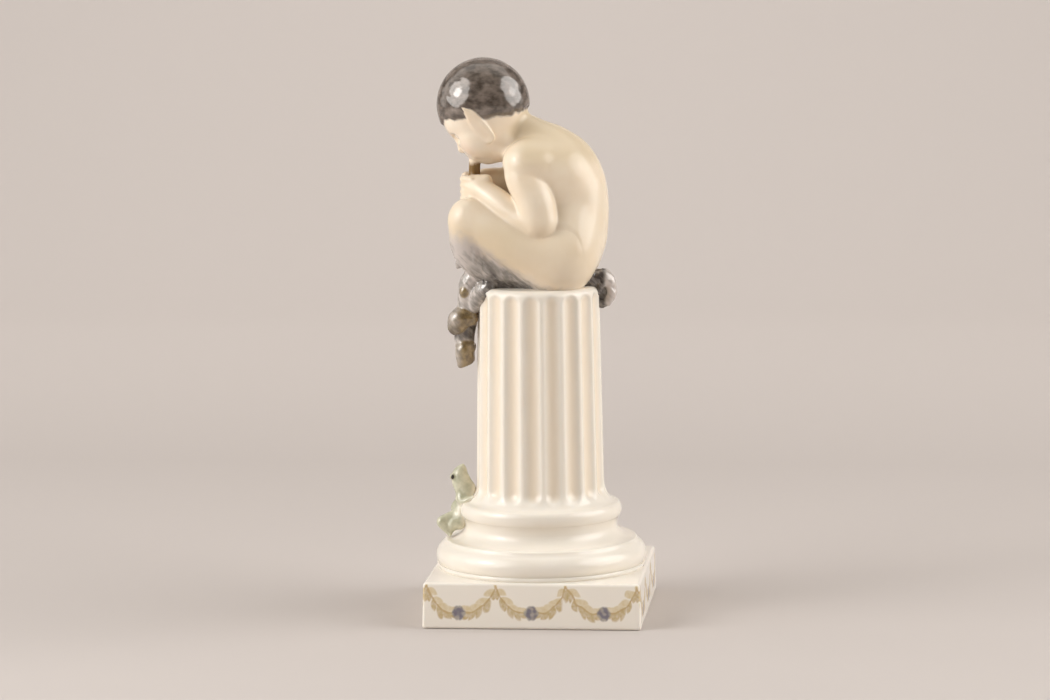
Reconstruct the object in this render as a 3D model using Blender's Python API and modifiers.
"""Porcelain figurine of a young faun who sits on a fluted column and plays a pipe, while a small
lizard climbs the column's base.

The real object is one slip casting: its moulded parts are luted together before firing, and the
glaze closes the joints. So everything here is joined into one solid, with a foot rim round a
recess under the plinth and the firing vent in the middle of it. The casting's hollow shows
nowhere, so it stays solid behind the vent, and the record gives the hollow piece's mass.

Metres, +Z up. The faun faces -Y, its left side is +X, and the origin is the middle of the foot.
"""

import math

import bmesh
import bpy
from mathutils import Matrix, Vector

MM = 0.001

# Plinth: a square slab with a slight draft, and a foot rim round a recess
PLINTH_WIDTH = 85.0 * MM
PLINTH_HEIGHT = 18.0 * MM
PLINTH_DRAFT = 0.5 * MM
PLINTH_EDGE_RADIUS = 1.3 * MM
FOOT_RIM_WIDTH = 6.0 * MM
FOOT_RECESS_DEPTH = 1.2 * MM
VENT_DIAMETER = 3.6 * MM
VENT_DEPTH = 8.0 * MM

# Round base, from the plinth up: torus, scotia, small torus, apophyge
TORUS_HEIGHT = 11.3 * MM
TORUS_BULGE = 6.4 * MM
TORUS_MARGIN = 1.1 * MM
SCOTIA_HEIGHT = 8.0 * MM
SCOTIA_DEPTH = 0.8 * MM
SMALL_TORUS_HEIGHT = 6.2 * MM
SMALL_TORUS_BULGE = 1.6 * MM
APOPHYGE_HEIGHT = 8.0 * MM
APOPHYGE_SPREAD = 5.0 * MM

# Shaft and its flutes
SHAFT_LENGTH = 77.5 * MM
SHAFT_TOP_RADIUS = 23.9 * MM
SHAFT_FOOT_RADIUS = 25.2 * MM
SHAFT_RIM_RADIUS = 3.0 * MM
FLUTE_COUNT = 19
FLUTE_WIDTH_SHARE = 0.82
FLUTE_DEPTH = 1.4 * MM
FLUTE_TOP_GAP = 1.8 * MM
FLUTE_TURN = -1.4
LATHE_STEPS = 57

# Faun and lizard are drawn in this unit, so the whole sculpture scales with it
SCULPT_UNIT = 1.0 * MM

# Faun, in sculpt units from the middle of the shaft's top face
SKULL_RADII = (15.3, 17.4, 17.2)
SKULL_CENTRE = (0.0, -21.0, 73.4)
HEAD_PITCH = 42.0
HAIR_THICKNESS = 1.0
EAR_FLATNESS = 0.42
LEG_SPREAD = 10.5
SHOULDER_SPREAD = 15.0
PIPE_LENGTH = 22.0
PIPE_RADIUS = 2.7
BODY_SINK = 2.7

FAUN_VOXEL = 0.75 * MM
FAUN_TRIANGLES = 5400
LIZARD_VOXEL = 0.45 * MM
LIZARD_TRIANGLES = 780

# Levels that follow from the sizes above
torus_top = PLINTH_HEIGHT + TORUS_HEIGHT
scotia_top = torus_top + SCOTIA_HEIGHT
small_torus_top = scotia_top + SMALL_TORUS_HEIGHT
apophyge_top = small_torus_top + APOPHYGE_HEIGHT
shaft_top = apophyge_top + SHAFT_LENGTH
torus_reach = PLINTH_WIDTH / 2 - TORUS_MARGIN
neck_reach = SHAFT_FOOT_RADIUS + APOPHYGE_SPREAD


def glaze(name, colour, roughness=0.12):
    material = bpy.data.materials.new(name)
    material.use_nodes = True
    shader = material.node_tree.nodes["Principled BSDF"]
    shader.inputs["Base Color"].default_value = (*colour, 1.0)
    shader.inputs["Roughness"].default_value = roughness
    shader.inputs["Metallic"].default_value = 0.0
    return material


def clear_scene():
    for thing in list(bpy.data.objects):
        bpy.data.objects.remove(thing)


def collection(name, hidden=False):
    made = bpy.data.collections.new(name)
    made.hide_render = hidden
    bpy.context.scene.collection.children.link(made)
    return made


def add_object(name, data, group):
    thing = bpy.data.objects.new(name, data)
    group.objects.link(thing)
    return thing


def evaluated_mesh(thing):
    """The object's mesh with its modifiers done, in world space."""
    graph = bpy.context.evaluated_depsgraph_get()
    graph.update()
    mesh = bpy.data.meshes.new_from_object(thing.evaluated_get(graph))
    mesh.transform(thing.matrix_world)
    return mesh


def ellipsoid(name, centre, radii, pitch=0.0, turn=0.0, segments=28):
    """A UV sphere with three radii, pitched about X and turned about Z, in degrees."""
    mesh = bpy.data.meshes.new(name)
    shape = bmesh.new()
    bmesh.ops.create_uvsphere(shape, u_segments=segments, v_segments=segments // 2, radius=1.0)
    place = Matrix.Translation(centre)
    place = place @ Matrix.Rotation(math.radians(turn), 4, "Z")
    place = place @ Matrix.Rotation(math.radians(pitch), 4, "X")
    shape.transform(place @ Matrix.Diagonal((*radii, 1.0)))
    shape.to_mesh(mesh)
    shape.free()
    return add_object(name, mesh, working)


def limb(name, stations, rings=5):
    """A round limb through stations of x, y, z and radius: a bevelled curve with a ball at each end."""
    curve = bpy.data.curves.new(name, "CURVE")
    curve.dimensions = "3D"
    curve.bevel_depth = 1.0
    curve.bevel_resolution = 4
    curve.resolution_u = rings
    curve.use_fill_caps = True
    spline = curve.splines.new("BEZIER")
    spline.bezier_points.add(len(stations) - 1)
    for point, (x, y, z, radius) in zip(spline.bezier_points, stations):
        point.co = (x, y, z)
        point.radius = radius
        point.handle_left_type = point.handle_right_type = "AUTO"
    made = [add_object(name, curve, working)]
    for end, (x, y, z, radius) in (("start", stations[0]), ("end", stations[-1])):
        made.append(ellipsoid(f"{name}_{end}", (x, y, z), (radius,) * 3))
    return made


def fuse(name, things, voxel, rounds, triangles):
    """Melts overlapping shapes into one skin, softens its creases as glaze does, and thins it."""
    skin = bmesh.new()
    for thing in things:
        mesh = evaluated_mesh(thing)
        skin.from_mesh(mesh)
        bpy.data.meshes.remove(mesh)
    joined = bpy.data.meshes.new(name)
    skin.to_mesh(joined)
    skin.free()
    fused = add_object(name, joined, working)
    remesh = fused.modifiers.new("melt", "REMESH")
    remesh.mode = "VOXEL"
    remesh.voxel_size = voxel
    soften = fused.modifiers.new("soften", "SMOOTH")
    soften.factor = 0.5
    soften.iterations = rounds
    melted = evaluated_mesh(fused)
    melted.calc_loop_triangles()
    thin = fused.modifiers.new("thin", "DECIMATE")
    thin.ratio = min(1.0, triangles / len(melted.loop_triangles))
    thin.use_collapse_triangulate = True
    bpy.data.meshes.remove(melted)
    return add_object(f"{name}_skin", evaluated_mesh(fused), working)


def combine(base, tool, operation):
    """Joins or cuts base with tool, and leaves base as a plain mesh.

    The EXACT solver leaves open edges where the faun's skin grazes the shaft's top, so this takes
    MANIFOLD, which every mesh here suits because it is closed.
    """
    modifier = base.modifiers.new(operation.lower(), "BOOLEAN")
    modifier.operation = operation
    modifier.object = tool
    modifier.solver = "MANIFOLD"
    result = evaluated_mesh(base)
    base.modifiers.clear()
    base.data = result
    return base


def arc(centre_r, centre_z, reach_r, reach_z, start, end, steps):
    """Points of an ellipse's arc in the profile plane, with angles in degrees from the outward side."""
    points = []
    for step in range(steps + 1):
        angle = math.radians(start + (end - start) * step / steps)
        points.append((centre_r + reach_r * math.cos(angle), centre_z + reach_z * math.sin(angle)))
    return points


def base_profile():
    """The turned outline below the shaft, from the apophyge's top down to inside the plinth."""
    scotia_neck = scotia_top - SCOTIA_HEIGHT * 0.32
    scotia_foot = torus_top + 0.3 * MM
    scotia_reach = torus_reach - TORUS_BULGE * 0.75
    throat = neck_reach - SCOTIA_DEPTH
    torus_rise = TORUS_HEIGHT * 0.585
    torus_middle = torus_top - torus_rise
    outline = arc(neck_reach, apophyge_top, -APOPHYGE_SPREAD, -APOPHYGE_HEIGHT, 0, 90, 5)
    outline += arc(
        neck_reach, scotia_top + SMALL_TORUS_HEIGHT / 2, SMALL_TORUS_BULGE,
        SMALL_TORUS_HEIGHT / 2 - 0.15 * MM, 90, -90, 6,
    )
    outline += arc(
        scotia_reach, scotia_neck, throat - scotia_reach, scotia_foot - scotia_neck, 0, 90, 5
    )
    outline += arc(torus_reach - TORUS_BULGE, torus_middle, TORUS_BULGE, torus_rise, 68, -46, 7)
    return outline


def base_reach(level):
    """How far the turned base reaches from the axis at a height."""
    outline = base_profile()
    for (upper_r, upper_z), (lower_r, lower_z) in zip(outline, outline[1:]):
        if lower_z <= level <= upper_z and upper_z > lower_z:
            share = (upper_z - level) / (upper_z - lower_z)
            return upper_r + (lower_r - upper_r) * share
    return SHAFT_FOOT_RADIUS if level > apophyge_top else torus_reach


def turned(name, outline, steps):
    """A solid of revolution from an outline that runs down its outer side and closes on the axis."""
    mesh = bpy.data.meshes.new(name)
    points = [(0.0, outline[0][1]), *outline, (0.0, outline[-1][1])]
    edges = [(i, i + 1) for i in range(len(points) - 1)]
    mesh.from_pydata([(r, 0.0, z) for r, z in points], edges, [])
    thing = add_object(name, mesh, working)
    screw = thing.modifiers.new("turn", "SCREW")
    screw.steps = screw.render_steps = steps
    screw.use_merge_vertices = True
    screw.merge_threshold = 0.00001
    screw.use_smooth_shade = False
    thing.data = evaluated_mesh(thing)
    thing.modifiers.clear()
    return thing


def plinth():
    """The square slab, with its draft and rounded edges."""
    half = PLINTH_WIDTH / 2
    mesh = bpy.data.meshes.new("plinth")
    shape = bmesh.new()
    bmesh.ops.create_cube(shape, size=1.0)
    for corner in shape.verts:
        top = corner.co.z > 0
        reach = half - PLINTH_DRAFT if top else half
        corner.co.x = math.copysign(reach, corner.co.x)
        corner.co.y = math.copysign(reach, corner.co.y)
        corner.co.z = PLINTH_HEIGHT if top else 0.0
    shape.to_mesh(mesh)
    shape.free()
    thing = add_object("plinth", mesh, working)
    bevel = thing.modifiers.new("edges", "BEVEL")
    bevel.width = PLINTH_EDGE_RADIUS
    bevel.segments = 3
    thing.data = evaluated_mesh(thing)
    thing.modifiers.clear()
    return thing


def flute_cutters():
    """A ring of round-ended rods that lean with the shaft's taper, as one closed-body cutter."""
    width = FLUTE_WIDTH_SHARE * 2 * math.pi * SHAFT_TOP_RADIUS / FLUTE_COUNT
    rod_radius = (width**2 / 4 + FLUTE_DEPTH**2) / (2 * FLUTE_DEPTH)
    lift = rod_radius - FLUTE_DEPTH
    foot = Vector((SHAFT_FOOT_RADIUS + lift, 0, small_torus_top + rod_radius + 2.2 * MM))
    head = Vector((SHAFT_TOP_RADIUS + lift, 0, shaft_top - FLUTE_TOP_GAP - width / 2))
    length = (head - foot).length
    outline = arc(0, length, rod_radius, rod_radius, 90, 0, 3)
    outline += arc(0, 0, rod_radius, rod_radius, 0, -90, 3)
    rod = turned("flute_rod", outline[1:-1], 12)
    lean = (head - foot).to_track_quat("Z", "X").to_matrix().to_4x4()
    cutter = bmesh.new()
    for number in range(FLUTE_COUNT):
        turn = math.radians(FLUTE_TURN + 360 * number / FLUTE_COUNT)
        around = Matrix.Rotation(turn, 4, "Z")
        copy = rod.data.copy()
        copy.transform(around @ Matrix.Translation(foot) @ lean)
        cutter.from_mesh(copy)
        bpy.data.meshes.remove(copy)
    mesh = bpy.data.meshes.new("flutes")
    cutter.to_mesh(mesh)
    cutter.free()
    return add_object("flutes", mesh, working)


def column():
    """Shaft and turned base in one piece, fluted, on the plinth."""
    rim = arc(
        SHAFT_TOP_RADIUS - SHAFT_RIM_RADIUS, shaft_top - SHAFT_RIM_RADIUS,
        SHAFT_RIM_RADIUS, SHAFT_RIM_RADIUS, 90, 0, 3,
    )
    sunk = base_profile()[-1][0], PLINTH_HEIGHT / 2
    body = turned("column", [*rim, *base_profile(), sunk], LATHE_STEPS)
    combine(body, flute_cutters(), "DIFFERENCE")
    return combine(body, plinth(), "UNION")


def on_seat(x, y, z):
    """A place given in sculpt units from the middle of the shaft's top face."""
    return Vector((x, y, z - BODY_SINK)) * SCULPT_UNIT + Vector((0, 0, shaft_top))


def seat_stations(stations, side=1):
    """Limb stations in sculpt units from the seat, mirrored for side -1."""
    return [(*on_seat(side * x, y, z), radius * SCULPT_UNIT) for x, y, z, radius in stations]


def seat_ellipsoid(name, centre, radii, pitch=0.0, turn=0.0):
    return ellipsoid(name, on_seat(*centre), [r * SCULPT_UNIT for r in radii], pitch, turn)


def in_head(forward, up, left=0.0):
    """A place in the pitched head, in sculpt units from the skull's centre, as a seat place."""
    pitch = math.radians(HEAD_PITCH)
    x, y, z = SKULL_CENTRE
    return (
        x + left,
        y - forward * math.cos(pitch) - up * math.sin(pitch),
        z - forward * math.sin(pitch) + up * math.cos(pitch),
    )


def torso():
    parts = [
        seat_ellipsoid("shoulders", (0, 5.0, 48.2), (15.0, 15.0, 15.0)),
        seat_ellipsoid("ribs", (0, 11.0, 38.7), (15.0, 16.2, 18.0)),
        seat_ellipsoid("upper_back", (0, 7.5, 45.0), (15.5, 15.5, 17.0)),
        seat_ellipsoid("pelvis", (0, 9.4, 25.4), (17.2, 17.9, 21.0)),
        seat_ellipsoid("belly", (0, 0.0, 26.0), (13.0, 12.0, 18.0)),
    ]
    for side in (-1, 1):
        parts.append(seat_ellipsoid("buttock", (side * 8.5, 7.6, 11.2), (11.5, 12.0, 11.5)))
        parts.append(seat_ellipsoid("shoulder_blade", (side * 8.0, 3.0, 50.0), (8.5, 9.5, 8.5)))
        parts.append(seat_ellipsoid("deltoid", (side * 11.0, 1.0, 49.0), (8.0, 9.5, 8.5)))
    parts += limb("neck", seat_stations([(0, -13, 65, 9.0), (0, -6, 61, 9.8), (0, 2, 55, 11.7)]))
    return parts


def head():
    skull = SKULL_RADII
    parts = [seat_ellipsoid("skull", SKULL_CENTRE, skull, HEAD_PITCH)]
    parts.append(seat_ellipsoid("face", in_head(6.0, -7.5), (12.0, 11.3, 11.8), HEAD_PITCH))
    parts.append(seat_ellipsoid("jaw", in_head(5.0, -13.5), (9.8, 9.0, 8.2), HEAD_PITCH))
    parts.append(seat_ellipsoid("chin", in_head(12.3, -15.3), (3.8, 3.4, 3.4), HEAD_PITCH))
    parts.append(seat_ellipsoid("mouth", in_head(15.4, -11.4), (4.2, 2.8, 3.0), HEAD_PITCH))
    parts.append(seat_ellipsoid("nose", in_head(17.2, -7.0), (1.9, 2.0, 2.4), HEAD_PITCH))
    for side in (-1, 1):
        cheek = in_head(10.6, -9.0, side * 6.2)
        parts.append(seat_ellipsoid("cheek", cheek, (5.6, 5.4, 5.6), HEAD_PITCH))
        parts += ear(side)
    parts.append(hair())
    return parts


def hair():
    """A close cap of hair, cut off along the line from the forehead to the nape."""
    radii = [r + HAIR_THICKNESS for r in SKULL_RADII]
    cap = seat_ellipsoid("hair", SKULL_CENTRE, radii, HEAD_PITCH)
    front, nape = on_seat(*in_head(17.0, 5.8)), on_seat(*in_head(-11.8, -12.2))
    along = nape - front
    down = Vector((0, -along.z, along.y)).normalized()
    if down.z > 0:
        down = -down
    shape = bmesh.new()
    shape.from_mesh(cap.data)
    bmesh.ops.bisect_plane(
        shape, geom=shape.verts[:] + shape.edges[:] + shape.faces[:],
        plane_co=front, plane_no=down, clear_outer=True,
    )
    bmesh.ops.holes_fill(shape, edges=shape.edges[:], sides=0)
    shape.to_mesh(cap.data)
    shape.free()
    return cap


def ear(side):
    """A broad ear that rises forward and outward to a point, flattened against the head."""
    course = [
        (in_head(4.6, -10.8, 12.6), 3.5),
        (in_head(4.1, -6.0, 14.8), 3.3),
        (in_head(4.3, -0.6, 16.8), 2.4),
        (in_head(5.1, 3.9, 18.4), 0.6),
    ]
    stations = [(x / EAR_FLATNESS, y, z, radius) for (x, y, z), radius in course]
    parts = limb("ear", seat_stations(stations, side))
    for part in parts:
        part.matrix_world = Matrix.Diagonal((EAR_FLATNESS, 1, 1, 1)) @ part.matrix_world
    return parts


def arm(side, reach=0.0, lift=0.0):
    """Upper arm, forearm and fist. Reach moves the shoulder and elbow forward, lift raises the forearm."""
    wide = SHOULDER_SPREAD
    upper = [
        (wide - 3.0, -4.0 - reach, 51.5, 7.6),
        (wide - 0.2, -2.8 - reach, 46.0, 7.6),
        (wide + 2.2, 0.3 - reach, 38.5, 7.7),
        (wide + 2.4, 2.3 - reach, 29.3 + lift / 2, 7.3),
    ]
    fore = [
        (wide + 2.0, 1.2 - reach, 28.6 + lift / 2, 6.9),
        (wide - 0.2, -5.6 - reach, 30.6 + lift * 0.8, 5.7),
        (wide - 2.6, -12.0, 34.8 + lift, 5.3),
        (wide - 4.8, -15.8, 37.4 + lift, 5.3),
        (7.4, -21.0, 40.6 + lift / 2, 4.8),
    ]
    parts = limb("upper_arm", seat_stations(upper, side))
    parts += limb("forearm", seat_stations(fore, side))
    parts.append(seat_ellipsoid("fist", (side * 5.0, -24.0, 41.3 + lift / 3), (4.6, 5.0, 5.8)))
    for finger in range(4):
        level = 37.2 + finger * 2.5
        knuckles = [(7.2, -26.0, level, 1.3), (4.6, -28.4, level + 0.3, 1.35), (1.2, -28.3, level, 1.2)]
        parts += limb("finger", seat_stations(knuckles, side))
    return parts


def pipe():
    """The shepherd's pipe, from the lips down between the fists."""
    top = in_head(16.0, -14.0)
    stations = [(0, top[1], top[2], PIPE_RADIUS), (0, top[1] - 1.0, top[2] - PIPE_LENGTH, PIPE_RADIUS)]
    return limb("pipe", seat_stations(stations))


def leg(side, crossing):
    """Thigh, shin and cannon of a goat's leg. Crossing lists its stations past the column's rim."""
    spread = LEG_SPREAD
    thigh = [
        (spread - 1.0, 8.0, 13.7, 12.4),
        (spread + 1.0, -4.0, 19.2, 11.2),
        (spread + 1.0, -16.0, 24.7, 9.0),
        (spread, -26.2, 30.6, 7.5),
    ]
    shin = [
        (spread, -26.4, 27.5, 7.4),
        (spread - 0.5, -26.4, 20.0, 7.2),
        (spread - 1.0, -22.6, 13.2, 6.5),
        (spread - 1.7, -14.0, 9.0, 5.6),
        (spread - 2.5, -6.0, 6.0, 4.2),
    ]
    cannon = [
        (spread - 2.7, -5.0, 4.8, 4.0),
        (spread - 4.0, -14.0, 4.4, 3.5),
        (spread - 5.2, -22.0, 6.0, 3.7),
        *crossing[:-2],
    ]
    parts = limb("thigh", seat_stations(thigh, side))
    parts += limb("shin", seat_stations(shin, side))
    parts += limb("cannon", seat_stations(cannon, side))
    return parts + hoof(side, crossing[-2], crossing[-1])


def hoof(side, crown, toe):
    """A cloven hoof: two blunt claws side by side, from the crown down to the toe."""
    parts = []
    for claw in (-1, 1):
        spread = 0.42 * crown[3] * claw
        stations = [
            (crown[0] + spread, crown[1], crown[2], crown[3] * 0.82),
            (toe[0] + spread * 1.25, toe[1], toe[2], toe[3] * 0.8),
        ]
        parts += limb("hoof", seat_stations(stations, side))
    return parts


def crossed_legs():
    """The left leg lies over the right one, and both hooves hang over the shaft's front rim."""
    rim = -SHAFT_TOP_RADIUS / SCULPT_UNIT
    over = [
        (4.3, rim - 2.6, 4.0, 4.3),
        (3.4, rim - 3.8, -5.4, 4.2),
        (2.8, rim - 5.2, -8.8, 4.4),
        (2.6, rim - 6.4, -9.8, 5.4),
        (2.4, rim - 7.3, -12.6, 4.7),
    ]
    under = [
        (3.0, rim - 3.0, 0.8, 4.2),
        (2.0, rim - 3.9, -7.0, 4.2),
        (1.0, rim - 5.6, -16.0, 4.2),
        (0.8, rim - 5.7, -20.6, 4.0),
        (0.8, rim - 5.7, -23.0, 4.6),
        (0.8, rim - 5.6, -27.3, 3.7),
    ]
    tuft = [(7.0, rim - 5.6, 17.0, 3.6), (6.0, rim - 8.4, 14.2, 1.8)]
    return leg(1, over) + leg(-1, under) + limb("shin_tuft", seat_stations(tuft, -1))


def tail():
    """A short tufted tail that curls over the shaft's back rim."""
    rim = SHAFT_TOP_RADIUS / SCULPT_UNIT
    curl = [
        (0, rim - 8.0, 4.6, 3.4),
        (0, rim - 3.0, 6.0, 3.6),
        (0, rim + 0.8, 6.1, 3.4),
        (0, rim + 4.0, 3.8, 2.8),
        (0, rim + 4.4, 0.2, 2.3),
        (0, rim + 2.8, -3.2, 2.4),
        (0, rim + 0.4, -4.2, 2.0),
    ]
    web = [(0, rim - 2.0, 2.0, 1.8), (0, rim + 1.6, 0.6, 1.6)]
    return limb("tail", seat_stations(curl)) + limb("tuft", seat_stations(web))


def on_base(turn, height, proud, radius):
    """A station on the turned base: degrees round from the front, height above the plinth's top,
    how far its middle stands off the surface, and its radius, all in sculpt units."""
    level = PLINTH_HEIGHT + height * SCULPT_UNIT
    reach = base_reach(level) + proud * SCULPT_UNIT
    angle = math.radians(turn - 90)
    return (reach * math.cos(angle), reach * math.sin(angle), level, radius * SCULPT_UNIT)


def off_shaft(x, proud, height, radius):
    """A station in front of the shaft: x, how far it stands off, height above the plinth, radius."""
    unit = SCULPT_UNIT
    return (x * unit, -SHAFT_FOOT_RADIUS - proud * unit, PLINTH_HEIGHT + height * unit, radius * unit)


def lizard():
    """The lizard's back arches from the plinth's corner over the torus, its head rises off the shaft."""
    body = [
        on_base(-40, 4.5, 2.4, 3.3),
        on_base(-27, 12.4, 2.0, 3.9),
        on_base(-13, 18.0, 1.8, 3.8),
        on_base(-2, 22.0, 0.6, 3.3),
    ]
    neck = [
        on_base(-2, 22.0, 0.6, 3.3),
        off_shaft(1.2, 4.8, 25.8, 3.5),
        off_shaft(1.2, 4.7, 29.3, 4.0),
        off_shaft(1.0, 6.1, 32.9, 3.9),
        off_shaft(0.8, 6.7, 35.2, 3.4),
        off_shaft(0.8, 6.1, 37.6, 2.1),
        off_shaft(0.8, 5.6, 39.3, 0.9),
    ]
    throat = [off_shaft(1.5, 3.4, 28.2, 3.0), off_shaft(1.5, 3.2, 30.4, 2.7)]
    brow = [off_shaft(-1.2, 9.2, 35.2, 1.3), off_shaft(2.9, 9.4, 35.2, 1.4)]
    tail_end = [
        on_base(-40, 4.5, 2.4, 3.3),
        on_base(-52, 2.0, 3.6, 2.6),
        on_base(-68, 1.2, 2.2, 1.7),
        on_base(-84, 1.0, 1.4, 1.2),
        on_base(-98, 1.0, 1.0, 0.8),
    ]
    front_leg = [
        off_shaft(2.4, 7.8, 20.0, 2.4),
        off_shaft(4.2, 11.6, 18.6, 2.2),
        off_shaft(5.0, 13.9, 17.4, 2.0),
        off_shaft(5.6, 12.2, 15.2, 1.8),
        off_shaft(5.8, 10.6, 12.6, 1.7),
    ]
    haunch = [
        off_shaft(3.4, 7.6, 19.2, 2.5),
        off_shaft(4.8, 8.8, 17.0, 2.5),
        off_shaft(5.4, 9.6, 14.4, 2.2),
    ]
    flank = [
        off_shaft(3.8, 6.0, 22.0, 2.3),
        off_shaft(4.8, 6.2, 18.0, 2.6),
        off_shaft(5.2, 7.6, 15.0, 2.3),
    ]
    front_arm = [
        off_shaft(3.4, 6.4, 26.8, 1.9),
        off_shaft(5.4, 5.2, 25.4, 1.5),
        off_shaft(6.4, 2.8, 26.4, 1.3),
        off_shaft(6.4, 0.6, 27.2, 1.2),
    ]
    far_arm = [on_base(-8, 25.0, 2.4, 1.6), on_base(-19, 26.0, 1.8, 1.3), on_base(-27, 25.2, 0.6, 1.1)]
    hind_leg = [on_base(-34, 7.0, 2.4, 1.9), on_base(-22, 3.4, 3.2, 1.6), on_base(-14, 1.0, 1.2, 1.2)]
    far_leg = [on_base(-42, 7.0, 2.4, 1.9), on_base(-56, 8.0, 2.6, 1.6), on_base(-62, 3.0, 1.6, 1.2)]
    parts = []
    near_side = (front_leg, haunch, flank, front_arm)
    for stations in (body, neck, throat, brow, tail_end, *near_side, far_arm, hind_leg, far_leg):
        parts += limb("lizard", stations)
    return parts


def foot_cutters():
    """The recess inside the foot rim, and the firing vent, as deep as the casting's wall."""
    half = PLINTH_WIDTH / 2 - FOOT_RIM_WIDTH
    mesh = bpy.data.meshes.new("recess")
    shape = bmesh.new()
    bmesh.ops.create_cube(shape, size=1.0)
    shape.transform(Matrix.Diagonal((2 * half, 2 * half, 2 * FOOT_RECESS_DEPTH, 1.0)))
    shape.to_mesh(mesh)
    shape.free()
    recess = add_object("recess", mesh, working)
    bevel = recess.modifiers.new("corners", "BEVEL")
    bevel.width = FOOT_RECESS_DEPTH * 0.6
    bevel.segments = 2
    radius = VENT_DIAMETER / 2
    vent = turned("vent", [(radius, VENT_DEPTH), (radius, -VENT_DEPTH)], 20)
    return recess, vent


def main():
    figurine = column()
    body = torso() + head() + arm(1) + arm(-1, reach=3.5, lift=5.5) + pipe() + crossed_legs() + tail()
    faun = fuse("faun", body, FAUN_VOXEL, 9, FAUN_TRIANGLES)
    climber = fuse("climber", lizard(), LIZARD_VOXEL, 3, LIZARD_TRIANGLES)
    combine(figurine, faun, "UNION")
    combine(figurine, climber, "UNION")
    for cutter in foot_cutters():
        combine(figurine, cutter, "DIFFERENCE")
    figurine.name = "faun_figurine"
    figurine.data.name = "faun_figurine"
    figurine.data.materials.clear()
    figurine.data.materials.append(glaze("glazed_porcelain", (0.86, 0.80, 0.70)))
    working.objects.unlink(figurine)
    finished.objects.link(figurine)
    for thing in list(working.objects):
        bpy.data.objects.remove(thing)
    bpy.data.collections.remove(working)


clear_scene()
finished = collection("Faun figurine")
working = collection("Working shapes", hidden=True)
main()
